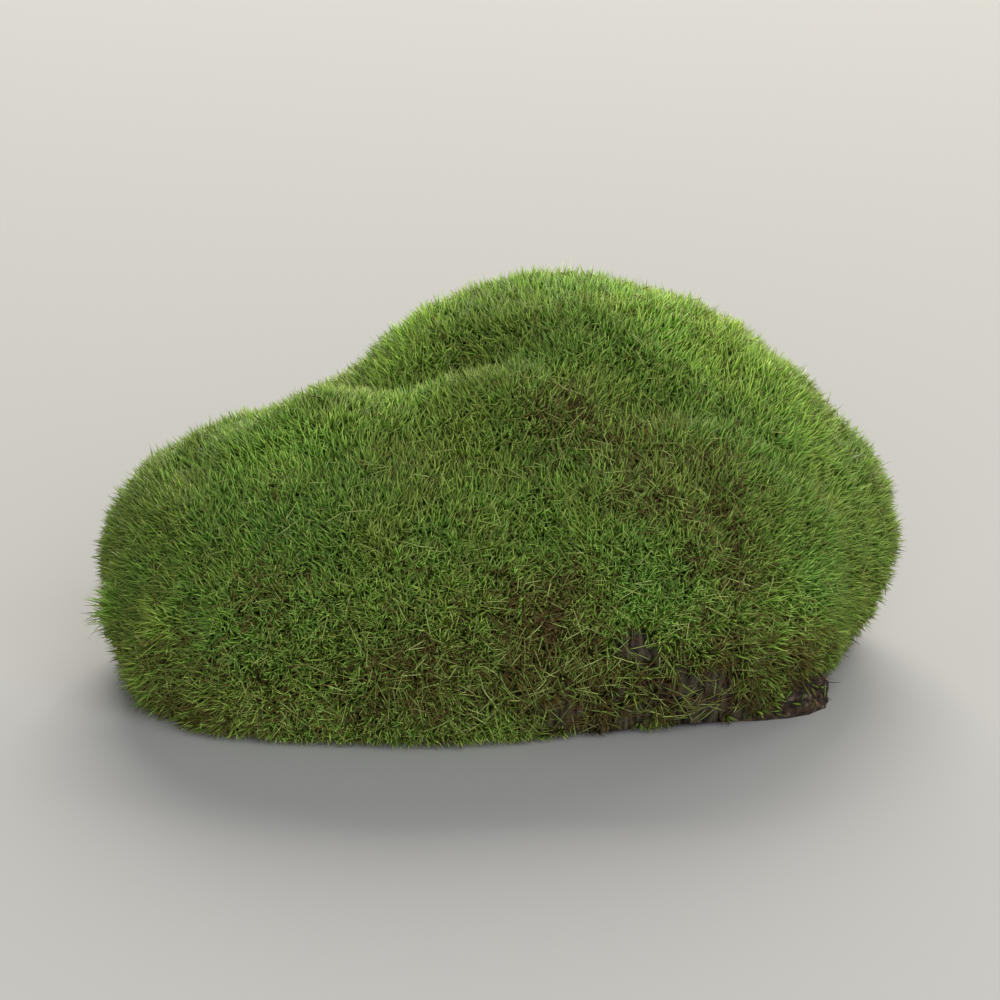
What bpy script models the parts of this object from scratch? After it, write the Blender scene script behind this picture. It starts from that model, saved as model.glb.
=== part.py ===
"""A clump of cushion moss on the thin mat of soil that it was lifted with.

The cushion is one soft mass: a crown at the back right, a lower shoulder at the left, a
front belly whose ridge runs up before the crown, a fold between that ridge and the crown,
and a flank that bulges to the right. The mat lies in a pocket under it and shows at the
lower right edge.
Metres, +Z up. The origin is the middle of the footprint, on the resting plane.
"""

import math
from typing import NamedTuple

import bmesh
import bpy
from mathutils import Matrix, Vector

MM = 0.001

# Overall size of the cushion.
CUSHION_WIDTH = 150 * MM
CUSHION_DEPTH = 124 * MM
CUSHION_HEIGHT = 69 * MM
BASE_LIFT = 1 * MM          # the leaves at the edge end this far above the resting plane

# How the lobes are melted into one mass.
LOBE_RINGS = 24
LOBE_SEGMENTS = 48
VOXEL = 3.8 * MM
MELT_FACTOR = 0.5
MELT_STEPS = 9

# The uneven growth of the surface: broad swells, and small tufts on them.
SWELL_SPAN = 24 * MM
SWELL_HEIGHT = 3.0 * MM
TUFT_SPAN = 8 * MM
TUFT_HEIGHT = 2.0 * MM

# The soil mat.
MAT_HALF_LENGTH = 56 * MM
MAT_HALF_WIDTH = 44 * MM
MAT_CENTRE = Vector((0, -4 * MM, 0))
MAT_THICKNESS = 7 * MM
MAT_SEGMENTS = 96
TONGUE_REACH = 15 * MM      # the mat comes out from under the cushion here
TONGUE_BEARING = math.radians(-27)
TONGUE_SPREAD = math.radians(16)
GAP = 0.3 * MM              # between the mat and the cushion

# The crumbled edge of the mat, lower than its middle and pitted.
EDGE_DROP = 3.2 * MM
EDGE_RUN = 9 * MM
EDGE_STEPS = 4
PIT_DEPTH = 1.0 * MM
PIT_TURNS = 23              # pits round the mat
PIT_TWIST = 2.0             # how far they shift from one step to the next, in radians

SMOOTH_ANGLE = math.radians(40)

# How the two materials look from afar: linear red, green and blue, and roughness.
MOSS_GREEN = (0.085, 0.155, 0.024)
MOSS_ROUGHNESS = 0.85
SOIL_BROWN = (0.035, 0.024, 0.017)
SOIL_ROUGHNESS = 0.95


class Wave(NamedTuple):
    """One ripple in the mat's ragged outline."""

    turns: int
    height: float
    phase: float


OUTLINE_WAVES = (Wave(5, 1.2 * MM, 0.6), Wave(11, 0.7 * MM, 2.0))


class Lobe(NamedTuple):
    """One rounded body, a swelling or a hollow: its centre and half-sizes, in millimetres."""

    name: str
    centre: tuple
    half_size: tuple


LOBES = (
    Lobe("crown", (13, 12, 22), (49, 43, 50)),
    Lobe("crown_left", (-5, 11, 32), (27, 24, 36)),
    Lobe("shoulder", (-41, -13, 19), (34, 43, 30)),
    Lobe("ridge_low", (-29, -20, 38), (25, 17, 21)),
    Lobe("ridge_high", (3, -18, 41), (27, 17, 22)),
    Lobe("belly", (-17, -29, 12), (54, 37, 40)),
    Lobe("front_right", (24, -19, 20), (42, 42, 35)),
    Lobe("flank", (42, 4, 22), (33, 42, 29)),
    Lobe("flank_top", (47, 3, 33), (20, 32, 25)),
    Lobe("back_left", (-10, 25, 19), (44, 36, 32)),
    Lobe("back_right", (28, 32, 20), (32, 30, 32)),
)

# The hollow that parts the ridges from the crown behind them.
FOLD = Lobe("fold", (-21, -8, 69), (28, 10, 16))


def clear_scene():
    for leftover in list(bpy.data.objects):
        bpy.data.objects.remove(leftover, do_unlink=True)


def new_collection(name):
    collection = bpy.data.collections.new(name)
    bpy.context.scene.collection.children.link(collection)
    return collection


def new_object(name, mesh, collection):
    thing = bpy.data.objects.new(name, mesh)
    collection.objects.link(thing)
    return thing


def principled(name, colour, roughness):
    material = bpy.data.materials.new(name)
    material.use_nodes = True
    shader = material.node_tree.nodes["Principled BSDF"]
    shader.inputs["Base Color"].default_value = (*colour, 1)
    shader.inputs["Roughness"].default_value = roughness
    shader.inputs["Metallic"].default_value = 0
    return material


def frozen_mesh(thing, name):
    """The mesh of an object with its modifiers applied; the object itself is removed."""
    graph = bpy.context.evaluated_depsgraph_get()
    mesh = bpy.data.meshes.new_from_object(thing.evaluated_get(graph))
    mesh.name = name
    bpy.data.objects.remove(thing, do_unlink=True)
    return mesh


def lobes_mesh(lobes, name):
    """These lobes as rounded bodies in one mesh, overlapping where they meet."""
    shape = bmesh.new()
    for lobe in lobes:
        place = Matrix.Translation(Vector(lobe.centre) * MM)
        size = Matrix.Diagonal((*(Vector(lobe.half_size) * MM), 1))
        bmesh.ops.create_uvsphere(
            shape,
            u_segments=LOBE_SEGMENTS,
            v_segments=LOBE_RINGS,
            radius=1,
            matrix=place @ size,
        )
    return finished_mesh(shape, name)


def add_uneven_growth(thing, name, span, height):
    texture = bpy.data.textures.new(name, "CLOUDS")
    texture.noise_scale = span
    texture.noise_depth = 0
    displace = thing.modifiers.new(name, "DISPLACE")
    displace.texture = texture
    displace.texture_coords = "LOCAL"
    displace.mid_level = 0.5
    displace.strength = height


def add_remesh(thing, name):
    remesh = thing.modifiers.new(name, "REMESH")
    remesh.mode = "VOXEL"
    remesh.voxel_size = VOXEL
    remesh.use_smooth_shade = True


def melted_mass(parts, cutters):
    """The lobes melted into one soft mass with uneven growth, at its full size."""
    thing = new_object("melted_mass", lobes_mesh(LOBES, "lobes"), parts)
    add_remesh(thing, "join_lobes")
    cut_away(thing, FOLD.name, lobes_mesh([FOLD], FOLD.name), cutters)
    add_remesh(thing, "even_out")
    melt = thing.modifiers.new("melt_creases", "SMOOTH")
    melt.factor = MELT_FACTOR
    melt.iterations = MELT_STEPS
    add_uneven_growth(thing, "swells", SWELL_SPAN, SWELL_HEIGHT)
    add_uneven_growth(thing, "tufts", TUFT_SPAN, TUFT_HEIGHT)
    mesh = frozen_mesh(thing, "moss_cushion")
    fit_above_ground(mesh)
    return mesh


def fit_above_ground(mesh):
    """Stretches the mass a little so that what stays above the ground has its full size."""
    raised = [vertex.co for vertex in mesh.vertices if vertex.co.z > BASE_LIFT]
    low = Vector(min(co[axis] for co in raised) for axis in range(3))
    high = Vector(max(co[axis] for co in raised) for axis in range(3))
    middle = (low + high) / 2
    width, depth, _ = high - low
    stretch = Matrix.Diagonal(
        (CUSHION_WIDTH / width, CUSHION_DEPTH / depth, CUSHION_HEIGHT / high.z, 1)
    )
    mesh.transform(stretch @ Matrix.Translation((-middle.x, -middle.y, 0)))


def mat_radius(bearing):
    """How far the mat reaches from its centre in this direction."""
    along = math.cos(bearing) / MAT_HALF_LENGTH
    across = math.sin(bearing) / MAT_HALF_WIDTH
    oval = 1 / math.hypot(along, across)
    ragged = sum(wave.height * math.sin(wave.turns * bearing + wave.phase) for wave in OUTLINE_WAVES)
    off = math.remainder(bearing - TONGUE_BEARING, math.tau) / TONGUE_SPREAD
    return oval + ragged + TONGUE_REACH * math.exp(-off * off)


def bearing_of(point):
    return math.atan2(point.y - MAT_CENTRE.y, point.x - MAT_CENTRE.x)


def mat_slab(low, high, margin=0.0):
    """A straight-sided slab with the mat's outline, and its top face, in an open bmesh."""
    shape = bmesh.new()
    bmesh.ops.create_circle(shape, cap_ends=True, segments=MAT_SEGMENTS, radius=1)
    for vertex in shape.verts:
        bearing = math.atan2(vertex.co.y, vertex.co.x)
        vertex.co = MAT_CENTRE + vertex.co * (mat_radius(bearing) + margin)
        vertex.co.z = low
    raised = bmesh.ops.extrude_face_region(shape, geom=shape.faces[:])["geom"]
    top_points = [item for item in raised if isinstance(item, bmesh.types.BMVert)]
    bmesh.ops.translate(shape, verts=top_points, vec=(0, 0, high - low))
    bmesh.ops.recalc_face_normals(shape, faces=shape.faces)
    (top,) = [item for item in raised if isinstance(item, bmesh.types.BMFace)]
    return shape, top


def finished_mesh(shape, name):
    mesh = bpy.data.meshes.new(name)
    shape.to_mesh(mesh)
    shape.free()
    return mesh


def mat_mesh():
    """The mat: a flat underside, a low upright edge and a top that crumbles down to it."""
    edge_height = MAT_THICKNESS - EDGE_DROP
    shape, top = mat_slab(0, edge_height)
    for step in range(EDGE_STEPS):
        for vertex in top.verts:
            pit = math.sin(PIT_TURNS * bearing_of(vertex.co) + PIT_TWIST * step)
            vertex.co.z -= PIT_DEPTH * max(0, pit) * (1 - step / EDGE_STEPS)
        bmesh.ops.inset_region(
            shape, faces=[top], thickness=EDGE_RUN / EDGE_STEPS, use_even_offset=True
        )
        share = (step + 1) / EDGE_STEPS
        for vertex in top.verts:
            vertex.co.z = edge_height + EDGE_DROP * math.sin(share * math.pi / 2)
    return finished_mesh(shape, "soil_mat")


def pocket_mesh():
    """A straight-sided block a gap larger than the mat, which cuts the room for it."""
    shape, _ = mat_slab(-MAT_THICKNESS, MAT_THICKNESS + GAP, margin=GAP)
    return finished_mesh(shape, "mat_pocket")


def ground_mesh():
    """A block with its top at the height where the cushion is cut off flat."""
    shape = bmesh.new()
    side = 2 * CUSHION_WIDTH
    place = Matrix.Translation((0, 0, BASE_LIFT - side / 2))
    bmesh.ops.create_cube(shape, size=side, matrix=place)
    return finished_mesh(shape, "ground_block")


def cut_away(thing, name, mesh, collection):
    cutter = new_object(name, mesh, collection)
    cutter.hide_render = True
    cutter.display_type = "WIRE"
    cut = thing.modifiers.new(name, "BOOLEAN")
    cut.operation = "DIFFERENCE"
    cut.object = cutter


def main():
    clear_scene()
    parts = new_collection("moss_clump")
    cutters = new_collection("cutters")
    cushion = new_object("moss_cushion", melted_mass(parts, cutters), parts)
    cut_away(cushion, "ground_block", ground_mesh(), cutters)
    cut_away(cushion, "mat_pocket", pocket_mesh(), cutters)
    cushion.data.materials.append(principled("living_moss", MOSS_GREEN, MOSS_ROUGHNESS))
    mat = new_object("soil_mat", mat_mesh(), parts)
    mat.data.materials.append(principled("damp_soil", SOIL_BROWN, SOIL_ROUGHNESS))
    for mesh in (cushion.data, mat.data):
        mesh.shade_smooth()
        mesh.set_sharp_from_angle(angle=SMOOTH_ANGLE)


main()
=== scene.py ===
"""A clump of cushion moss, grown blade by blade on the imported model.

The cushion is some fifteen thousand upright shoots, packed side by side on a core of old stems.
Each shoot carries five whorls of leaves, from the brown old ones to the pale young ones at its
tip. Dry strands lie over it where the moss has died back. Under the cushion lies the thin mat
of soil that the clump was lifted with. Where it comes out, loose crumbs, rootlets and a few
fallen leaves lie on it.
Metres, +Z up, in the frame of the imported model.
"""

import logging
import math
from dataclasses import dataclass, field
from enum import Enum

import bpy
import numpy as np
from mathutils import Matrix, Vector, noise
from mathutils.bvhtree import BVHTree


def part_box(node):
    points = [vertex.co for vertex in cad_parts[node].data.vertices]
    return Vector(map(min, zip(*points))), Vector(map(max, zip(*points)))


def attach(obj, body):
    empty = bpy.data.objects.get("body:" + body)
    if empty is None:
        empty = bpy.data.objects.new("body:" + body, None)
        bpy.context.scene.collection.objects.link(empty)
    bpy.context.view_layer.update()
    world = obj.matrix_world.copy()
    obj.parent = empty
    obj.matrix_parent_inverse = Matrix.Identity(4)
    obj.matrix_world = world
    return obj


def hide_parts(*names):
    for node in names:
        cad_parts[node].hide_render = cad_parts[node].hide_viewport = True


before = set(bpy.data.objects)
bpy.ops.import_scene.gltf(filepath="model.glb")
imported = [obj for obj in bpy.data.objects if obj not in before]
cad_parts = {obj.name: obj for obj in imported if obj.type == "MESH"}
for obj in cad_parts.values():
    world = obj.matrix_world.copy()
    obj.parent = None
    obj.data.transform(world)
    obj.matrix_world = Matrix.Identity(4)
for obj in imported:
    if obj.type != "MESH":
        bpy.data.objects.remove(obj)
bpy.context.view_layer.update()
LOG = logging.getLogger("moss_clump")

MM = 0.001
GOLDEN_ANGLE = math.pi * (3 - math.sqrt(5))
CUSHION = "moss_cushion"
MAT = "soil_mat"
ROOT = "root"
WELD = 0.001 * MM              # points nearer than this are one
NOISE_SEED = 5                 # or else the noise would be another one on each run
NOISE_DRIFT = (1.0, 0.7, 1.3)  # which way a shift moves the noise


# ------------------------- common tools


def linear(hex_colour: str) -> tuple[float, float, float, float]:
    """Turns an sRGB hex colour, "#rrggbb", to linear red, green, blue and an alpha of 1."""
    channels = (int(hex_colour[at:at + 2], 16) / 255 for at in (1, 3, 5))
    return (*(c / 12.92 if c <= 0.04045 else ((c + 0.055) / 1.055) ** 2.4 for c in channels), 1.0)


def add_node(
    tree: bpy.types.NodeTree, kind: str, inputs: dict | None = None, **settings: object
) -> bpy.types.Node:
    """Adds one node to a material, with its settings and its links.

    Args:
        tree: the node tree of the material.
        kind: the node's type, without its ShaderNode prefix.
        inputs: for each input's name or number, its value, or the output socket or the node to
            link from. A node gives the first output that it has in use.
        settings: the node's own properties.

    Returns:
        The new node.
    """
    node = tree.nodes.new("ShaderNode" + kind)
    for name, value in settings.items():
        setattr(node, name, value)
    for key, value in (inputs or {}).items():
        if isinstance(value, bpy.types.Node):
            value = next(socket for socket in value.outputs if socket.enabled)
        if isinstance(value, bpy.types.NodeSocket):
            tree.links.new(value, node.inputs[key])
        else:
            node.inputs[key].default_value = value
    return node


def new_material(
    name: str, roughness: float, specular: float = 0.5
) -> tuple[bpy.types.Material, bpy.types.NodeTree, bpy.types.Node]:
    """Makes a material with one plain shader.

    Args:
        name: what the real one is.
        roughness: of its surface.
        specular: how strongly it gleams, beside the usual 0.5.

    Returns:
        The material, its node tree and its shader.
    """
    material = bpy.data.materials.new(name)
    material.use_nodes = True
    shader = material.node_tree.nodes["Principled BSDF"]
    shader.inputs["Roughness"].default_value = roughness
    shader.inputs["Specular IOR Level"].default_value = specular
    return material, material.node_tree, shader


def set_ramp(node: bpy.types.Node, stops: dict[float, str]) -> None:
    """Gives a colour ramp its stops.

    Args:
        node: the colour ramp.
        stops: the hex colour at each place from 0 to 1, in rising order.
    """
    elements = node.color_ramp.elements
    while len(elements) < len(stops):
        elements.new(0.5)
    for element, (place, colour) in zip(elements, stops.items()):
        element.position = place
        element.color = linear(colour)


def deselect_all() -> None:
    """Leaves nothing selected, so that an operator acts on what is picked next."""
    bpy.ops.object.select_all(action="DESELECT")


def merged_copy(node: str, name: str) -> bpy.types.Object:
    """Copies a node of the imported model, with its loose triangles merged.

    Args:
        node: the node's name.
        name: the copy's name.

    Returns:
        The copy, as a new object that stands alone.
    """
    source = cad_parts[node]
    thing = bpy.data.objects.new(name, source.data.copy())
    bpy.context.scene.collection.objects.link(thing)
    thing.data.materials.clear()
    deselect_all()
    thing.select_set(True)
    bpy.context.view_layer.objects.active = thing
    bpy.ops.object.mode_set(mode="EDIT")
    bpy.ops.mesh.select_all(action="SELECT")
    bpy.ops.mesh.remove_doubles(threshold=WELD)
    bpy.ops.object.mode_set(mode="OBJECT")
    return thing


def points_of(mesh: bpy.types.Mesh) -> np.ndarray:
    """Reads the vertices of a mesh.

    Args:
        mesh: the mesh.

    Returns:
        Their places, one row each.
    """
    flat = np.empty(len(mesh.vertices) * 3)
    mesh.vertices.foreach_get("co", flat)
    return flat.reshape(-1, 3)


def triangles_of(mesh: bpy.types.Mesh) -> np.ndarray:
    """Reads the triangles of a mesh.

    Args:
        mesh: the mesh.

    Returns:
        The vertex numbers of each, one row each.
    """
    mesh.calc_loop_triangles()
    flat = np.empty(len(mesh.loop_triangles) * 3, dtype=np.int32)
    mesh.loop_triangles.foreach_get("vertices", flat)
    return flat.reshape(-1, 3)


def unit(vectors: np.ndarray) -> np.ndarray:
    """Brings each row to length 1."""
    return vectors / np.maximum(np.linalg.norm(vectors, axis=-1, keepdims=True), 1e-12)


def area_vectors(corners: np.ndarray) -> np.ndarray:
    """The normal of each triangle, as long as its area is large, from its three corners."""
    return np.cross(corners[:, 1] - corners[:, 0], corners[:, 2] - corners[:, 0]) / 2


@dataclass
class Spots:
    """Spots on a surface, one row each: their places and the surface's normals there."""

    places: np.ndarray
    normals: np.ndarray

    def __len__(self) -> int:
        """The number of spots."""
        return len(self.places)

    def picked(self, which: np.ndarray | slice) -> "Spots":
        """Some of the spots, by number or by a truth value for each."""
        return Spots(self.places[which], self.normals[which])


class Shift(Enum):
    """How far the noise is moved for each use of it, so that no two uses are alike."""

    LEAN = 3.1
    CRUMBLE = 5.5
    TUFTS = 8.7
    HEIGHTS = 21.3
    DRYNESS = 31.9
    FRESHNESS = 36.2
    STEMS = 44.4
    MOTTLE = 54.3
    TONES = 61.7
    SPECKS = 71.3
    FRESH_TUFTS = 91.4


def scatter_noise(points: np.ndarray, span: float, shift: Shift) -> np.ndarray:
    """A smooth random vector at each point, with swells of this span, moved by this shift."""
    offset = Vector([shift.value * step for step in NOISE_DRIFT])
    return np.array([noise.noise_vector(Vector(point) / span + offset) for point in points])


def turned_out(axes: np.ndarray, turns: np.ndarray) -> np.ndarray:
    """The direction square to each axis at each turn round it.

    Args:
        axes: unit vectors, one row each.
        turns: the angle round each, in radians.

    Returns:
        Unit vectors, one row each.
    """
    helper = np.where(np.abs(axes[:, 2:]) < 0.9, (0, 0, 1), (1, 0, 0))
    first = unit(np.cross(axes, helper))
    second = np.cross(axes, first)
    return np.cos(turns)[:, None] * first + np.sin(turns)[:, None] * second


def joined_mesh(name: str, points: np.ndarray, faces: np.ndarray) -> bpy.types.Object:
    """Joins many copies of one small form in one mesh.

    Args:
        name: of the new object.
        points: the points of each copy, copy by copy.
        faces: the triangles of one copy.

    Returns:
        The new object, shaded smooth.
    """
    count, size = points.shape[:2]
    faces = faces[None] + np.arange(count)[:, None, None] * size
    mesh = bpy.data.meshes.new(name)
    mesh.vertices.add(count * size)
    mesh.vertices.foreach_set("co", points.astype(np.float32).ravel())
    mesh.loops.add(faces.size)
    mesh.loops.foreach_set("vertex_index", faces.astype(np.int32).ravel())
    mesh.polygons.add(faces.size // 3)
    mesh.polygons.foreach_set("loop_start", np.arange(0, faces.size, 3, dtype=np.int32))
    mesh.update(calc_edges=True)
    mesh.shade_smooth()
    thing = bpy.data.objects.new(name, mesh)
    bpy.context.scene.collection.objects.link(thing)
    return thing


def dress(piece: bpy.types.Object, material: bpy.types.Material, node: str) -> None:
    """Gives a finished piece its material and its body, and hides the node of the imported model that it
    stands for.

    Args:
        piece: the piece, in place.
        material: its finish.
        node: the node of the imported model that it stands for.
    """
    piece.data.materials.clear()
    piece.data.materials.append(material)
    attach(piece, ROOT)
    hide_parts(node)
    LOG.info("%s: %d faces, %s", piece.name, len(piece.data.polygons), material.name)


# ------------------------- finishes


# The sockets of a Mix node that mixes colours.
FACTOR, FIRST, SECOND, MIXED = 0, 6, 7, 2


@dataclass(frozen=True)
class LeafFinish:
    """Moss leaf, grown: thin green blades, matt with a weak moist gleam, that let light through.

    Each blade runs from a brown base over its own green to a pale growing point. The dark base also
    paints in the shade of the depths, and the pale tip is in part a painted highlight. A dead one is
    anything from dull brown to olive straw. So the eye sees dark depths, a green body and a light
    frost of tips, and a rim that glows against the light.
    """

    name: str
    base: str
    blade: str
    tip: str
    dead_base: str = "#483c1c"
    dead_blade: str = "#706a2c"
    dead_tip: str = "#a19f50"
    dead_brown: str = "#60502b"
    roughness: float = 0.42
    specular: float = 0.28
    see_through: float = 0.42     # the share of the light that goes on through a blade,
    through_colour: float = 1.3   # and how much more colour it takes on than what comes back
    places: tuple[float, ...] = (0.15, 0.5, 0.95)  # of the three colours, along the leaf
    shade_low: float = 0.62       # how dark the darkest leaf of the kind is,
    shade_high: float = 1.6       # and how bright the brightest
    hue_low: float = 0.484        # the yellowest leaf of the kind, and the greenest
    hue_high: float = 0.518

    def material(self) -> bpy.types.Material:
        """Builds the finish.

        Returns:
            A material that reads how far along its leaf a point is, and the leaf's shade, with painted
            rim light and glow in it, and its tone and dryness, from the piece's attributes.
        """
        material, tree, shader = new_material(self.name, self.roughness, self.specular)
        along, shade, tone, dryness = (
            add_node(tree, "Attribute", attribute_name=name).outputs["Fac"]
            for name in ("along", "shade", "tone", "dryness")
        )
        # the dark base is partly painted shade of the depths, the pale tip partly a painted highlight
        living = add_node(tree, "ValToRGB", {"Fac": along})
        set_ramp(living, dict(zip(self.places, (self.base, self.blade, self.tip))))
        hue = add_node(tree, "MapRange", {"Value": tone, "To Min": self.hue_low, "To Max": self.hue_high})
        toned = add_node(tree, "HueSaturation", {"Color": living, "Hue": hue})
        dead = add_node(tree, "ValToRGB", {"Fac": along})
        set_ramp(dead, dict(zip(self.places, (self.dead_base, self.dead_blade, self.dead_tip))))
        dulled = {FACTOR: tone, FIRST: linear(self.dead_brown), SECOND: dead}
        browned = add_node(tree, "Mix", dulled, data_type="RGBA")
        dried = {FACTOR: dryness, FIRST: toned, SECOND: browned}
        mixed = add_node(tree, "Mix", dried, data_type="RGBA")
        strength = add_node(
            tree, "MapRange", {"Value": shade, "To Min": self.shade_low, "To Max": self.shade_high}
        )
        shaded = add_node(tree, "HueSaturation", {"Color": mixed, "Value": strength})
        tree.links.new(shaded.outputs["Color"], shader.inputs["Base Color"])
        deeper = add_node(tree, "HueSaturation", {"Color": shaded, "Saturation": self.through_colour})
        through = add_node(tree, "BsdfTranslucent", {"Color": deeper})
        both = add_node(tree, "MixShader", {0: self.see_through, 1: shader, 2: through})
        tree.links.new(both.outputs["Shader"], tree.nodes["Material Output"].inputs["Surface"])
        return material


@dataclass(frozen=True)
class StrandFinish:
    """Dead moss strand, dried: wiry and dull, from rust over olive straw to pale straw.

    They give the eye fine yellowish and rusty lines across the green.
    """

    name: str = "dried_moss_strand"
    rust: str = "#573a24"
    brown: str = "#6a5a2b"
    olive: str = "#7e9142"
    pale: str = "#b2bd6c"
    roughness: float = 0.75
    specular: float = 0.2

    def material(self) -> bpy.types.Material:
        """Builds the finish.

        Returns:
            A material that reads each strand's age from the piece's attribute.
        """
        material, tree, shader = new_material(self.name, self.roughness, self.specular)
        age = add_node(tree, "Attribute", attribute_name="age").outputs["Fac"]
        colour = add_node(tree, "ValToRGB", {"Fac": age})
        set_ramp(colour, {0.0: self.rust, 0.25: self.brown, 0.6: self.olive, 1.0: self.pale})
        tree.links.new(colour.outputs["Color"], shader.inputs["Base Color"])
        return material


@dataclass(frozen=True)
class ThatchFinish:
    """Old moss stems, died back in the dark: felted brown and olive strands, dull all over."""

    name: str = "felted_old_moss_stems"
    dark: str = "#38351d"
    brown: str = "#5c482c"
    olive: str = "#586030"
    bare_dark: str = "#15130f"     # where the moss is gone, as the eye sees in the pit
    bare_pale: str = "#5c5244"
    strand: float = 0.9 * MM       # across one strand
    run: float = 6 * MM            # along one strand
    patch: float = 18 * MM         # across a patch of brown or olive
    roughness: float = 0.95
    specular: float = 0.1

    def material(self) -> bpy.types.Material:
        """Builds the finish.

        Returns:
            A material with strands that run upwards and patches of brown and olive.
        """
        material, tree, shader = new_material(self.name, self.roughness, self.specular)
        place = add_node(tree, "TexCoord").outputs["Object"]
        drawn = add_node(tree, "Mapping", {"Vector": place, "Scale": (1, 1, self.strand / self.run)})
        strands = add_node(tree, "TexNoise", {"Vector": drawn, "Scale": 1 / self.strand, "Detail": 3.0})
        patches = add_node(tree, "TexNoise", {"Vector": place, "Scale": 1 / self.patch, "Detail": 2.0})
        warm, green, earthy = (add_node(tree, "ValToRGB", {"Fac": strands}) for _ in range(3))
        set_ramp(warm, {0.38: self.dark, 0.66: self.brown})
        set_ramp(green, {0.38: self.dark, 0.66: self.olive})
        set_ramp(earthy, {0.38: self.bare_dark, 0.68: self.bare_pale})
        patched = {FACTOR: patches, FIRST: warm, SECOND: green}
        mixed = add_node(tree, "Mix", patched, data_type="RGBA")
        bare = add_node(tree, "Attribute", attribute_name="bare").outputs["Fac"]
        laid_bare = {FACTOR: bare, FIRST: mixed, SECOND: earthy}
        bared = add_node(tree, "Mix", laid_bare, data_type="RGBA")
        tree.links.new(bared.outputs[MIXED], shader.inputs["Base Color"])
        return material


@dataclass(frozen=True)
class GrainFinish:
    """A dull natural stuff whose colour changes from grain to grain."""

    name: str
    grain: float                   # across one grain
    detail: float                  # how much finer grain there is in it
    colours: dict[float, str]
    roughness: float
    specular: float = 0.5

    def material(self) -> bpy.types.Material:
        """Builds the finish.

        Returns:
            A material with grains of several sizes, from dark to pale.
        """
        material, tree, shader = new_material(self.name, self.roughness, self.specular)
        place = add_node(tree, "TexCoord").outputs["Object"]
        grains = {"Vector": place, "Scale": 1 / self.grain, "Detail": self.detail}
        colour = add_node(tree, "ValToRGB", {"Fac": add_node(tree, "TexNoise", grains)})
        set_ramp(colour, self.colours)
        tree.links.new(colour.outputs["Color"], shader.inputs["Base Color"])
        return material


# Damp peaty soil, crumbled: near black with warm grey crumbs, dull with no gleam.
CRUMBLED_SOIL = GrainFinish(
    "damp_crumbled_soil", 1.4 * MM, 4.0, {0.35: "#201916", 0.58: "#43382f", 0.78: "#807364"}, 0.95, 0.15
)
# Moss rootlets, grown: thin wiry strands, from rust brown to straw, faintly glossy.
WIRY_ROOTLETS = GrainFinish("wiry_moss_rootlets", 3 * MM, 2.0, {0.35: "#3b2412", 0.65: "#8c6a3c"}, 0.7)


# ------------------------- places on the clump


class Growth(Enum):
    """How the moss grows in a patch, beside the moss round it, and where light is painted on it."""

    DRY = "dry"
    # fresh growth together with painted rim light and glow: brighter leaves
    FRESH_AND_PAINTED_LIGHT = "fresh_and_painted_light"
    GREEN = "green"
    LONG = "long"
    DEAD = "dead"
    SPARSE = "sparse"
    BARE = "bare"


@dataclass(frozen=True)
class Patch:
    """A round patch on the skin, with its centre and radius in millimetres."""

    centre: tuple[float, float, float]
    radius: float
    strength: float

    def pull(self, points: np.ndarray) -> np.ndarray:
        """How strongly the patch acts at each point: next to nothing past its rim."""
        off = np.linalg.norm(points - np.array(self.centre) * MM, axis=1)
        return self.strength * np.exp(-((off / (self.radius * MM)) ** 2))


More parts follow.
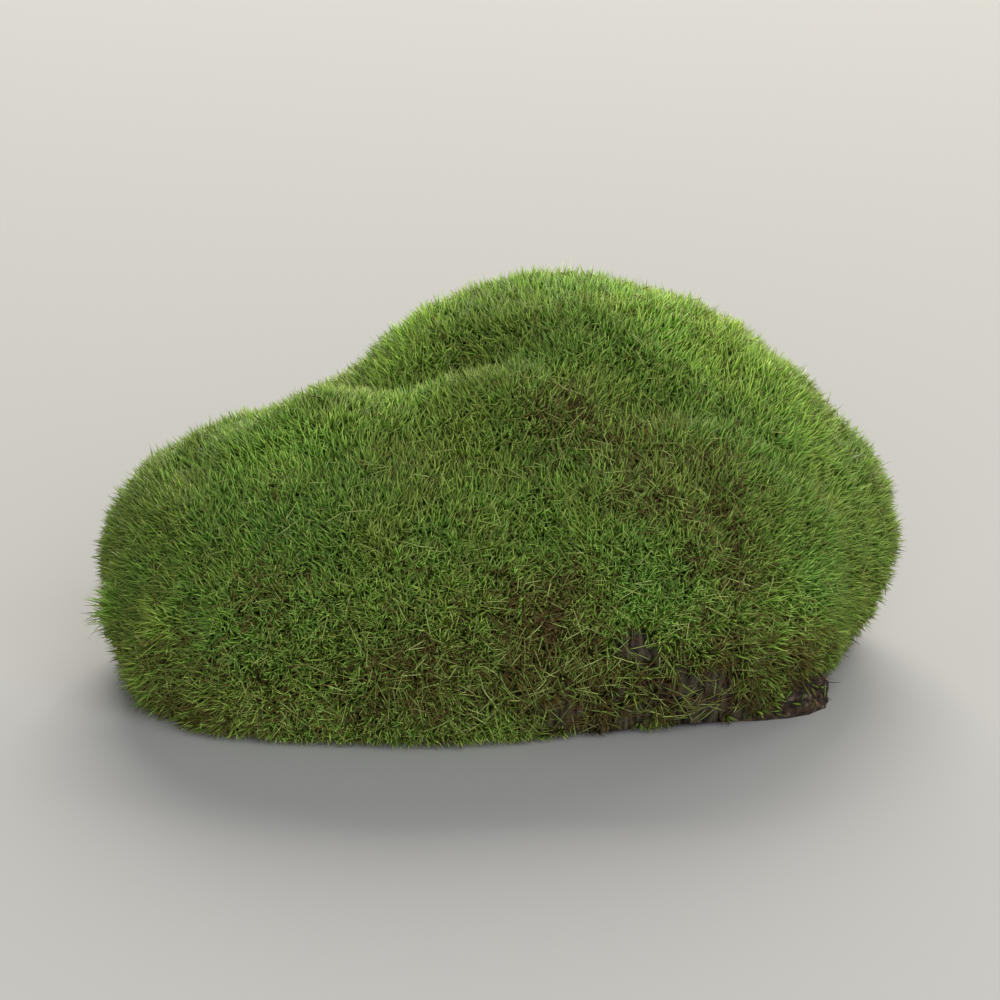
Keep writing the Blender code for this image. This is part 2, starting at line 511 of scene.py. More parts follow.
PATCHES = {
    Growth.DRY: {
        "brow": Patch((12, -25, 54), 8, 0.70),
        "brow_right": Patch((25, -30, 51), 8, 0.65),
        "upper_face": Patch((26, -42, 46), 7, 0.50),
        "middle_face": Patch((36, -45, 41), 6, 0.35),
        "right_brow": Patch((41, -37, 44), 7, 0.50),
        "right_face": Patch((43, -47, 34), 8, 0.55),
        "lower_face": Patch((6, -55, 29), 9, 0.60),
        "lower_knot": Patch((4, -57, 22), 8, 0.35),
        "lower_middle": Patch((8, -57, 16), 9, 0.75),
        "front_foot": Patch((14, -56, 7), 12, 0.85),
        "middle_foot": Patch((28, -55, 7), 10, 0.95),
        "right_foot": Patch((41, -51, 7), 11, 1.10),
        "right_corner": Patch((54, -41, 6), 11, 1.30),
        "right_corner_edge": Patch((54, -42, 3), 9, 1.0),
        "upper_brow": Patch((38, -30, 49), 7, 0.35),
        "left_foot_spot": Patch((-15, -61, 16), 8, 0.80),
        "left_foot": Patch((-18, -61, 5), 15, 0.50),
        "left_corner": Patch((-61, -44, 6), 13, 0.80),
        "left_corner_front": Patch((-46, -56, 3), 12, 0.55),
        "left_speck": Patch((-11, -34, 49), 6, 0.30),
        "left_face_spot": Patch((-42, -53, 30), 6, 0.45),
        "back_foot": Patch((20, 58, 8), 16, 0.6),
        "right_side_foot": Patch((66, 2, 8), 14, 0.6),
        "left_side_foot": Patch((-70, -8, 6), 12, 0.5),
    },
    Growth.DEAD: {
        "brow_speck": Patch((10, -26, 54), 2.7, 0.40),
        "brow_second_speck": Patch((16, -28, 52), 2.0, 0.35),
        "upper_left_speck": Patch((21, -44, 44), 2.5, 0.50),
        "upper_speck": Patch((28, -44, 43), 2.4, 0.50),
        "right_upper_speck": Patch((41, -40, 42), 2.6, 0.35),
        "middle_speck": Patch((36, -50, 37), 2.4, 0.45),
        "right_middle_speck": Patch((42, -49, 32), 2.5, 0.40),
        "low_left_speck": Patch((12, -53, 31), 2.5, 0.50),
        "low_edge_speck": Patch((1, -55, 30), 2.7, 0.45),
        "right_low_speck": Patch((50, -45, 18), 2.4, 0.30),
        "low_middle_speck": Patch((6, -58, 20), 3.1, 0.40),
        "foot_speck": Patch((39, -51, 8), 6.0, 0.65),
        "foot_middle_speck": Patch((31, -53, 9), 3.5, 0.45),
        "foot_front_speck": Patch((18, -53, 3), 3.4, 0.50),
        "foot_left_speck": Patch((11, -55, 7), 2.7, 0.45),
        "left_lone_speck": Patch((-30, -33, 49), 1.5, 0.40),
    },
    Growth.SPARSE: {
        "front_foot_gaps": Patch((16, -54, 2), 12, 0.45),
        "right_foot_gaps": Patch((39, -51, 5), 14, 0.8),
        "back_foot_gaps": Patch((24, 58, 4), 11, 0.5),
    },
    # These brighten the leaves along the rims and on a few tufts where the back light catches them:
    # painted rim light and glow, beside some fresh growth.
    Growth.FRESH_AND_PAINTED_LIGHT: {
        "shoulder_rim": Patch((-45, -17, 50), 8, 0.4),
        "shoulder_front_rim": Patch((-41, -27, 49), 8, 1.7),
        "shoulder_right_rim": Patch((-29, -27, 53), 7, 0.5),
        "fold_rim": Patch((-17, -16, 55), 9, 0.6),
        "crown_left_rim": Patch((-19, 6, 59), 8, 1.3),
        "crown_left_top_rim": Patch((-14, 13, 63), 7, 0.8),
        "crown_rim": Patch((7, 15, 68), 11, 0.5),
        "crown_middle_rim": Patch((27, 8, 67), 9, 0.9),
        "crown_right_rim": Patch((38, 5, 62), 10, 2.2),
        "right_rim": Patch((50, -5, 55), 10, 0.9),
        "right_low_rim": Patch((60, -10, 46), 10, 0.7),
        "back_rim": Patch((10, 40, 58), 22, 0.6),
        "back_left_rim": Patch((-45, 18, 42), 18, 0.5),
        "right_glow": Patch((56, -40, 21), 9, 0.45),
        "low_glow": Patch((28, -56, 25), 5, 0.3),
        "left_glow": Patch((-35, -58, 10), 9, 0.35),
        "left_edge_glow": Patch((-72, -24, 17), 3.5, 1.2),
        "left_face_glow": Patch((-62, -44, 19), 3.5, 1.3),
        "left_low_glow": Patch((-66, -38, 7), 5, 0.7),
        "left_foot_glow": Patch((-54, -51, 5), 6, 0.6),
    },
    Growth.GREEN: {
        "right_green": Patch((58, -38, 24), 11, 0.4),
        "pit_green": Patch((30, -54, 29), 8, 0.4),
        "brow_green": Patch((45, -20, 52), 12, 0.4),
        "left_green": Patch((-38, -44, 40), 13, 0.35),
        "shoulder_green": Patch((-49, -19, 48), 13, 0.45),
        "left_face_green": Patch((-50, -51, 24), 12, 0.25),
        "crown_green": Patch((15, 6, 68), 15, 0.35),
    },
    Growth.LONG: {
        "left_edge_tuft": Patch((-72, -24, 17), 3.5, 0.9),
        "left_face_tuft": Patch((-62, -44, 19), 3.0, 0.7),
        "left_low_tuft": Patch((-66, -38, 7), 5, 0.6),
        "left_foot_tuft": Patch((-54, -51, 5), 6, 0.5),
        "right_fringe": Patch((54, -44, 10), 10, 0.3),
    },
    Growth.BARE: {"pit": Patch((25, -57, 19), 5.0, 1.0)},
}


def growth_at(points: np.ndarray, growth: Growth) -> np.ndarray:
    """The pull of all the patches of one kind of growth, at each point."""
    return sum(patch.pull(points) for patch in PATCHES[growth].values())


# ------------------------- the skin and its shoots


@dataclass
class Shoots:
    """The moss shoots, one row each: tip on the skin, axis, depth of growth and colours."""

    tops: np.ndarray
    axes: np.ndarray
    depths: np.ndarray
    turns: np.ndarray
    dryness: np.ndarray
    # how fresh each shoot grows, with painted rim light and glow added
    freshness_and_painted_light: np.ndarray
    tones: np.ndarray
    stretches: np.ndarray

    def __len__(self) -> int:
        """The number of shoots."""
        return len(self.tops)


@dataclass
class Skin:
    """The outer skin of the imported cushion, up to which the leaves grow."""

    level: float = 0.99                  # the least upward part of a level face's normal
    upright: float = 0.02                # and the most of an upright one's
    living_depth: float = 4.2 * MM       # from the skin down to the core of old stems
    least_depth: float = 0.6 * MM
    wall_share: float = 0.5              # of the way to the pocket that the shoots may take up
    cell: float = 1.66 * MM              # one shoot grows in each cell of this size
    tries: int = 140_000
    sunk: float = 0.7 * MM               # how far under the skin a shoot's own tip is
    lift: float = 0.25                   # how much the shoots turn up towards the light
    lean: float = 0.36                   # how far neighbouring shoots lean the same way
    lean_span: float = 14 * MM
    tuft: float = 0.34                   # the same, for the small tufts
    tuft_span: float = 4.5 * MM
    uneven: float = 0.45 * MM            # how much higher or lower a shoot ends than the rest
    uneven_play: float = 0.4
    dryness: float = 0.04                # where no patch is dry
    dryness_play: float = 0.10
    patch_dryness: float = 0.6
    mottle: float = 0.9                  # how uneven dry patches are,
    mottle_span: float = 6.5 * MM        # over this length
    speck_dryness: float = 0.7
    speck_span: float = 3.0 * MM         # dead specks in dry patches are of this size
    speck_level: float = 0.37            # the higher, the fewer specks
    speck_gain: float = 0.12             # how many more there are where it is dry
    speck_bound: float = 0.1             # none where the pull of dry patches is under this
    speck_edge: float = 0.12
    speck_gaps: float = 0.6              # the share of the shoots that are missing in a speck
    speck_dulling: float = 0.6
    bare_bound: float = 0.5              # nothing grows where a bare patch pulls more than this
    fresh_play: float = 0.2
    fresh_tuft_play: float = 0.3
    tone: float = 0.45                   # from 0, the yellowest, to 1, the greenest
    tone_play: float = 0.5
    tone_span: float = 10 * MM
    sparse_yellowing: float = 0.4
    seed: int = 11
    guide: bpy.types.Object = field(init=False)
    points: np.ndarray = field(init=False)
    faces: np.ndarray = field(init=False)
    outer: np.ndarray = field(init=False)
    areas: np.ndarray = field(init=False)
    normals: np.ndarray = field(init=False)
    pocket: BVHTree = field(init=False)

    def __post_init__(self) -> None:
        """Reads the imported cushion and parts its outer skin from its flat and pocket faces."""
        self.guide = merged_copy(CUSHION, "skin_guide")
        self.points = points_of(self.guide.data)
        self.faces = triangles_of(self.guide.data)
        corners = self.points[self.faces]
        areas = area_vectors(corners)
        face_normals = unit(areas)
        middles = corners.mean(axis=1)
        low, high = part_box(MAT)
        mat_centre = np.array((low + high) / 2)
        flat = (face_normals[:, 2] < -self.level) & (middles[:, 2] < high.z + MM)
        inward = ((middles - mat_centre)[:, :2] * face_normals[:, :2]).sum(axis=1) < 0
        wall = (np.abs(face_normals[:, 2]) < self.upright) & (middles[:, 2] < high.z + MM) & inward
        self.outer = ~(flat | wall)
        self.areas = np.linalg.norm(areas, axis=1)
        self.normals = np.zeros_like(self.points)
        for corner in range(3):
            np.add.at(self.normals, self.faces[self.outer, corner], areas[self.outer])
        self.normals = unit(self.normals)
        room = self.faces[wall | (flat & (middles[:, 2] > high.z - MM))]
        self.pocket = BVHTree.FromPolygons(self.points.tolist(), room.tolist())
        LOG.info("skin: %.0f square mm", self.areas[self.outer].sum() / MM**2)

    def depth_at(self, points: np.ndarray) -> np.ndarray:
        """How deep the leaves go under each point of the skin: less where the pocket is near."""
        away = np.array([self.pocket.find_nearest(Vector(point))[3] for point in points])
        return np.clip(away * self.wall_share, self.least_depth, self.living_depth)

    def dryness_at(self, points: np.ndarray) -> np.ndarray:
        """Tells how far the moss has died back.

        Args:
            points: on the skin, one row each.

        Returns:
            The dryness at each point, from 0 to 1 and a little past both.
        """
        mottle = 1 + self.mottle * scatter_noise(points, self.mottle_span, Shift.MOTTLE)[:, 0]
        patches = np.minimum(growth_at(points, Growth.DRY), 1) * mottle * self.patch_dryness
        broad = self.dryness_play * scatter_noise(points, self.lean_span, Shift.DRYNESS)[:, 0]
        return patches + broad + self.dryness + self.speck_dryness * self.specks_at(points)

    def specks_at(self, points: np.ndarray) -> np.ndarray:
        """Tells where the small dead specks are.

        Args:
            points: on the skin, one row each.

        Returns:
            How far each point is in a speck, from 0 to 1.
        """
        dry = growth_at(points, Growth.DRY)
        level = scatter_noise(points, self.speck_span, Shift.SPECKS)[:, 0] - self.speck_level
        level += self.speck_gain * np.minimum(dry, 1)
        random = np.clip(level / self.speck_edge, 0, 1) * (dry > self.speck_bound)
        return np.clip(random + growth_at(points, Growth.DEAD), 0, 1)

    def scattered(self, count: int, rng: np.random.Generator) -> Spots:
        """Drops spots on the outer skin at random.

        Args:
            count: how many.
            rng: where the chance comes from.

        Returns:
            The spots, with the skin's smooth normals.
        """
        outer = self.faces[self.outer]
        share = self.areas[self.outer] / self.areas[self.outer].sum()
        picked = outer[rng.choice(len(outer), count, p=share)]
        weights = rng.dirichlet((1, 1, 1), count)[:, :, None]
        normals = unit((self.normals[picked] * weights).sum(axis=1))
        return Spots((self.points[picked] * weights).sum(axis=1), normals)

    def shoots(self) -> Shoots:
        """Places one shoot in each small cell of the skin, fewer where the moss is sparse.

        Returns:
            The shoots, with their axes, depths and what sets their colours.
        """
        rng = np.random.default_rng(self.seed)
        spots = self.scattered(self.tries, rng)
        cells = np.floor(spots.places / self.cell).astype(int)
        _, first = np.unique(cells, axis=0, return_index=True)
        spots = spots.picked(np.sort(first))
        gaps = growth_at(spots.places, Growth.SPARSE) + self.speck_gaps * self.specks_at(spots.places)
        bare = growth_at(spots.places, Growth.BARE) >= self.bare_bound
        spots = spots.picked(~bare & (gaps < rng.random(len(spots))))
        places = spots.places
        axes = spots.normals + np.array((0, 0, self.lift))
        axes += self.lean * scatter_noise(places, self.lean_span, Shift.LEAN)
        axes += self.tuft * scatter_noise(places, self.tuft_span, Shift.TUFTS)
        heights = scatter_noise(places, self.tuft_span, Shift.HEIGHTS)[:, :1]
        heights = (heights + rng.normal(0, self.uneven_play, heights.shape)) * self.uneven - self.sunk
        fresh_and_painted_light = self.fresh_play * scatter_noise(places, self.lean_span, Shift.FRESHNESS)[:, 0]
        fresh_and_painted_light += self.fresh_tuft_play * scatter_noise(places, self.tuft_span, Shift.FRESH_TUFTS)[:, 0]
        # painted light: rim light and glow, as brighter leaves where these patches lie
        fresh_and_painted_light += growth_at(places, Growth.FRESH_AND_PAINTED_LIGHT)
        tones = self.tone + self.tone_play * scatter_noise(places, self.tone_span, Shift.TONES)[:, 0]
        tones += growth_at(places, Growth.GREEN)
        return Shoots(
            tops=places + spots.normals * heights,
            axes=unit(axes),
            depths=self.depth_at(places),
            turns=rng.uniform(0, math.tau, len(places)),
            dryness=self.dryness_at(places),
            freshness_and_painted_light=fresh_and_painted_light - self.speck_dulling * self.specks_at(places),
            tones=tones - self.sparse_yellowing * growth_at(places, Growth.SPARSE),
            stretches=1 + growth_at(places, Growth.LONG),
        )


# ------------------------- blades


class BladeShape(Enum):
    """How a blade is drawn out, by the rings of points between its foot and its tip."""

    SPIKE = 0
    SPINDLE = 1
    STRAND = 2


@dataclass
class BladeForm:
    """One slim keeled blade, one unit long and wide, modelled once."""

    shape: BladeShape
    belly: float = 0.4             # where along its length a spindle is widest
    keel: float = 0.4              # thickness beside width
    along: np.ndarray = field(init=False)
    across: np.ndarray = field(init=False)
    up: np.ndarray = field(init=False)
    faces: np.ndarray = field(init=False)

    def __post_init__(self) -> None:
        """Models the blade with three sides, then draws out its foot and flattens it."""
        deselect_all()
        waist = self.belly if self.shape is BladeShape.SPINDLE else 0.0
        if self.shape is BladeShape.STRAND:
            bpy.ops.mesh.primitive_uv_sphere_add(
                segments=3, ring_count=3, radius=0.5, location=(0, 0, 0.5)
            )
        else:
            bpy.ops.mesh.primitive_cone_add(
                vertices=3,
                radius1=0.5,
                depth=1 - waist,
                end_fill_type="TRIFAN" if waist else "NGON",
                location=(0, 0, (1 + waist) / 2),
            )
        blade = bpy.context.active_object
        bpy.ops.object.transform_apply(location=True, rotation=True, scale=True)
        bpy.ops.object.mode_set(mode="EDIT")
        bpy.ops.mesh.select_all(action="DESELECT")
        bpy.ops.object.mode_set(mode="OBJECT")
        for vertex in blade.data.vertices:
            vertex.select = vertex.co.xy.length < 0.01 and vertex.co.z < 0.99
        bpy.ops.object.mode_set(mode="EDIT")
        bpy.ops.transform.translate(value=(0, 0, -waist))
        bpy.ops.mesh.select_all(action="SELECT")
        bpy.ops.transform.resize(value=(1, self.keel, 1), center_override=(0, 0, 0))
        bpy.ops.object.mode_set(mode="OBJECT")
        form = points_of(blade.data)
        form /= (np.ptp(form[:, 0]), np.ptp(form[:, 0]), 1)
        self.across, self.up, self.along = form.T
        self.faces = triangles_of(blade.data)
        bpy.data.objects.remove(blade, do_unlink=True)
        LOG.info("%s form: %d points, %d faces", self.shape.name, len(form), len(self.faces))


@dataclass
class Blades:
    """Many blades of one form, one row each: foot, heading, bend, length, width and flat side."""

    form: BladeForm
    feet: np.ndarray
    headings: np.ndarray
    bends: np.ndarray              # how far the tip is off the straight line, as a share
    lengths: np.ndarray
    widths: np.ndarray
    flats: np.ndarray              # along the width, square to the heading
    ground: float = 0.3 * MM       # no blade comes nearer to the resting plane
    ground_run: float = 1.4 * MM   # over this height the blades lie down on it
    map_margin: float = 0.12       # of a blade's cell of the map, under its foot
    map_length: float = 0.66       # how much of the cell the blade takes up along its length,
    map_width: float = 0.7         # across it
    map_depth: float = 0.1         # and by its thickness

    def joined(self, name: str) -> bpy.types.Object:
        """Joins the blades in one mesh.

        Args:
            name: of the new object.

        Returns:
            The new object, with no blade under the resting plane.
        """
        t = self.form.along[None, :, None]
        points = self.feet[:, None] + self.lengths[:, None, None] * (
            t * self.headings[:, None] + t**2 * self.bends[:, None]
        )
        ridges = np.cross(self.flats, self.headings)
        points += (self.widths[:, None] * self.form.across)[:, :, None] * self.flats[:, None]
        points += (self.widths[:, None] * self.form.up)[:, :, None] * ridges[:, None]
        bar = self.ground + self.ground_run
        below = np.minimum(points[..., 2] - bar, 0)
        lying = self.ground + self.ground_run * np.exp(below / self.ground_run)
        points[..., 2] = np.where(below < 0, lying, points[..., 2])
        return joined_mesh(name, points, self.form.faces)

    def paint(self, piece: bpy.types.Object, values: dict[str, np.ndarray]) -> None:
        """Writes one number for each blade, and how far along its blade each point is.

        Args:
            piece: the joined blades.
            values: the numbers, one for each blade, by the name that the finish reads.
        """
        size = len(self.form.along)
        spread = {name: np.repeat(numbers, size) for name, numbers in values.items()}
        spread["along"] = np.tile(self.form.along, len(self.feet))
        for name, numbers in spread.items():
            attribute = piece.data.attributes.new(name, "FLOAT", "POINT")
            attribute.data.foreach_set("value", numbers.astype(np.float32))

    def lay_out_map(self, piece: bpy.types.Object, order: np.ndarray) -> None:
        """Gives each blade its own cell of a map named OFBake, for baking its colours in.

        Args:
            piece: the joined blades.
            order: the blades' numbers, sorted so that neighbours are of like colour.
        """
        rows = math.ceil(math.sqrt(len(order)))
        cell = np.empty(len(order), dtype=int)
        cell[order] = np.arange(len(order))
        corner = np.stack([cell % rows, cell // rows], axis=1)[:, None]
        depth = self.form.up / np.ptp(self.form.up)
        depth = self.map_depth * (depth - depth.min())
        height = self.map_margin + self.map_length * self.form.along + depth
        inside = np.stack([0.5 + self.map_width * self.form.across, height], axis=1)
        places = ((corner + inside[None]) / rows).reshape(-1, 2)
        loops = np.empty(len(piece.data.loops), dtype=np.int32)
        piece.data.loops.foreach_get("vertex_index", loops)
        uv = piece.data.uv_layers.new(name="OFBake")
        uv.data.foreach_set("uv", places[loops].astype(np.float32).ravel())


# ------------------------- the leaves


class LeafAge(Enum):
    """The age of a leaf, which sets where on its shoot it sits."""

    OLD = "old"
    LOWER = "lower"
    MIDDLE = "middle"
    UPPER = "upper"
    YOUNG = "young"


@dataclass(frozen=True)
class Whorl:
    """The leaves of one age on every shoot."""

    count: int              # on each shoot
    shape: BladeShape
    insertion: float        # of their feet under the shoot's tip, as a share of the living depth
    spread: float           # their angle from the shoot's axis
    length: float
    width: float
    fresh_and_painted_light_gain: float       # how much brighter they are where the moss grows fresh and where rim light and glow are painted on
    finish: LeafFinish


WHORLS = {
    LeafAge.OLD: Whorl(
        3, BladeShape.SPIKE, 0.80, math.radians(60), 3.9 * MM, 0.60 * MM, 0.2,
        LeafFinish("old_moss_leaf", "#4c591b", "#657f27", "#88a148"),
    ),
    LeafAge.LOWER: Whorl(
        3, BladeShape.SPIKE, 0.78, math.radians(52), 4.2 * MM, 0.58 * MM, 0.3,
        LeafFinish("lower_moss_leaf", "#4f5f1d", "#6a8e2a", "#96b353"),
    ),
    LeafAge.MIDDLE: Whorl(
        2, BladeShape.SPINDLE, 0.76, math.radians(46), 4.3 * MM, 0.47 * MM, 0.45,
        LeafFinish("middle_moss_leaf", "#4f611f", "#6c922c", "#abc561"),
    ),
    LeafAge.UPPER: Whorl(
        2, BladeShape.SPINDLE, 0.73, math.radians(37), 4.2 * MM, 0.45 * MM, 0.55,
        LeafFinish("upper_moss_leaf", "#526620", "#739b30", "#bed56d"),
    ),
    LeafAge.YOUNG: Whorl(
        2, BladeShape.SPINDLE, 0.70, math.radians(27), 4.1 * MM, 0.41 * MM, 0.6,
        LeafFinish("young_moss_leaf", "#576e23", "#7fa634", "#d0e379"),
    ),
}


@dataclass
class Leaves:
    """All the leaves of one age, as one joined mesh."""

    age: LeafAge
    shoots: Shoots
    first_place: int               # of this whorl on the shoot, counted from its foot
    spread_play: float = math.radians(16)
    length_play: float = 0.12
    least_length: float = 0.5      # where the moss has no depth, as a share of the full length
    width_play: float = 0.12
    twist: float = math.radians(45)
    bow: float = 0.13              # how far a leaf bows, as a share of its length
    hook: float = 0.08             # how far it turns back up to its shoot
    hook_play: float = 0.1
    stray_share: float = 0.012     # of the leaves are longer than the rest
    stray_length: float = 1.3
    dry_edge: float = 0.25         # how gently leaves pass from green to dead
    shade: float = 0.41            # from 0, dark, to 1, bright
    shade_play: float = 0.18
    tone_play: float = 0.15
    full_depth: float = Skin.living_depth
    seed: int = 100

    def build(self) -> None:
        """Grows the leaves and joins them in one piece."""
        whorl = WHORLS[self.age]
        rng = np.random.default_rng(self.seed + self.first_place)
        sites = np.repeat(np.arange(len(self.shoots)), whorl.count)
        order = np.tile(np.arange(whorl.count), len(self.shoots)) + self.first_place
        count = len(sites)
        axes = self.shoots.axes[sites]
        out = turned_out(axes, self.shoots.turns[sites] + order * GOLDEN_ANGLE)
        spread = rng.normal(whorl.spread, self.spread_play, count)[:, None]
        heading = np.cos(spread) * axes + np.sin(spread) * out
        side = unit(np.cross(heading, axes))
        share = self.shoots.depths[sites] / self.full_depth
        length = whorl.length * (self.least_length + (1 - self.least_length) * share)
        length *= rng.normal(1, self.length_play, count)
        length *= np.where(rng.random(count) < self.stray_share, self.stray_length, 1)
        length *= self.shoots.stretches[sites]
        under = whorl.insertion * self.full_depth * share
        hooked = unit(axes - heading * (axes * heading).sum(axis=1, keepdims=True))
        bend = hooked * rng.normal(self.hook, self.hook_play, count)[:, None]
        bend += side * rng.normal(0, self.bow, count)[:, None]
        turn = rng.normal(0, self.twist, count)[:, None]
        blades = Blades(
            form=BladeForm(whorl.shape),
            feet=self.shoots.tops[sites] - axes * under[:, None],
            headings=heading,
            bends=bend,
            lengths=length,
            widths=whorl.width * rng.normal(1, self.width_play, count),
            flats=np.cos(turn) * side + np.sin(turn) * np.cross(side, heading),
        )
        dry = (self.shoots.dryness[sites] - rng.random(count)) / self.dry_edge + 0.5
        # painted light: the shade rises with the painted rim light and glow, as well as with fresh growth
        glow = whorl.fresh_and_painted_light_gain * self.shoots.freshness_and_painted_light[sites]
        shade = self.shade + glow + rng.normal(0, self.shade_play, count)
        tone = self.shoots.tones[sites] + rng.normal(0, self.tone_play, count)
        values = {"shade": shade, "tone": tone, "dryness": dry}
        values = {name: np.clip(numbers, 0, 1) for name, numbers in values.items()}
        piece = blades.joined(self.age.value + "_leaves")
        blades.paint(piece, values)
        by_colour = np.lexsort((values["shade"], values["tone"].round(1), values["dryness"].round(1)))
        blades.lay_out_map(piece, by_colour)
        dress(piece, whorl.finish.material(), CUSHION)


@dataclass
class Strands:
    """Dry strands that lie over the green, most where the moss has died back."""

    skin: Skin
    count: int = 4600
    tries: int = 30_000
    everywhere: float = 0.10       # the chance of a strand where the moss is not dry at all
    lowest: float = 2.0 * MM
    length: float = 6.2 * MM
    shortest: float = 0.6          # as a share of the usual length
    longest: float = 1.25
    width: float = 0.20 * MM
    width_play: float = 0.15
    rise: float = math.radians(14)
    rise_play: float = math.radians(13)
    sunk: float = 0.9 * MM
    follow: float = 0.12           # how far a strand bends down along the clump
    bow: float = 0.15
    age: float = 0.62              # from 0, rust, to 1, pale
    age_play: float = 0.26
    seed: int = 300

    def build(self) -> None:
        """Lays the strands and joins them in one piece."""
        rng = np.random.default_rng(self.seed)
        spots = self.skin.scattered(self.tries, rng)
        chance = self.everywhere + np.clip(self.skin.dryness_at(spots.places), 0, 1)
        chance *= spots.places[:, 2] > self.lowest
        spots = spots.picked(rng.choice(self.tries, self.count, replace=False, p=chance / chance.sum()))
        tangent = turned_out(spots.normals, rng.uniform(0, math.tau, self.count))
        rise = rng.normal(self.rise, self.rise_play, self.count)[:, None]
        heading = np.cos(rise) * tangent + np.sin(rise) * spots.normals
        length = self.length * rng.uniform(self.shortest, self.longest, self.count)
        side = unit(np.cross(heading, spots.normals))
        bend = side * rng.normal(0, self.bow, self.count)[:, None] - spots.normals * self.follow
        blades = Blades(
            form=BladeForm(BladeShape.STRAND),
            feet=spots.places - heading * length[:, None] / 2 - spots.normals * self.sunk,
            headings=heading,
            bends=bend,
            lengths=length,
            widths=self.width * rng.normal(1, self.width_play, self.count),
            flats=turned_out(heading, rng.uniform(0, math.tau, self.count)),
        )
        age = rng.normal(self.age, self.age_play, self.count)
        age = np.clip(age - self.skin.specks_at(spots.places) * self.age, 0, 1)
        piece = blades.joined("dry_strands")
        blades.paint(piece, {"age": age})
        blades.lay_out_map(piece, np.argsort(age))
        dress(piece, StrandFinish().material(), CUSHION)


# ------------------------- the core of old stems


@dataclass
class Thatch:
    """The core of old stems that the living leaves hide."""

    skin: Skin
    relief: float = 0.5 * MM
    relief_span: float = 2.5 * MM
    bare_pull: float = 1.6         # how soon the brown shows where the moss thins out
    cut_slack: float = 0.1 * MM    # a point this near to the flat cut stays in it

    def build(self) -> None:
        """Shrinks a copy of the cushion by the depth of the living leaves."""
        piece = self.skin.guide
        piece.name = piece.data.name = "old_stems"
        outer = np.zeros(len(self.skin.points), dtype=bool)
        outer[self.skin.faces[self.skin.outer].ravel()] = True
        skin_points = self.skin.points[outer]
        depth = self.skin.depth_at(skin_points)
        depth += self.relief * scatter_noise(skin_points, self.relief_span, Shift.STEMS)[:, 0]
        depth = np.maximum(depth, self.skin.least_depth)
        inward = self.skin.normals[outer] * depth[:, None]
        lowest = self.skin.points[:, 2].min()
        on_cut = skin_points[:, 2] < lowest + self.cut_slack
        inward[on_cut, 2] = 0
        moved = self.skin.points.copy()
        moved[outer] = skin_points - inward
        moved[:, 2] = np.maximum(moved[:, 2], lowest)
        piece.data.vertices.foreach_set("co", moved.astype(np.float32).ravel())
        piece.data.update()
        piece.data.shade_smooth()
        gone = growth_at(self.skin.points, Growth.SPARSE) + growth_at(self.skin.points, Growth.BARE)
        gone = np.clip(self.bare_pull * gone + self.skin.specks_at(self.skin.points), 0, 1)
        attribute = piece.data.attributes.new("bare", "FLOAT", "POINT")
        attribute.data.foreach_set("value", gone.astype(np.float32))
        dress(piece, ThatchFinish().material(), CUSHION)


# ------------------------- the soil


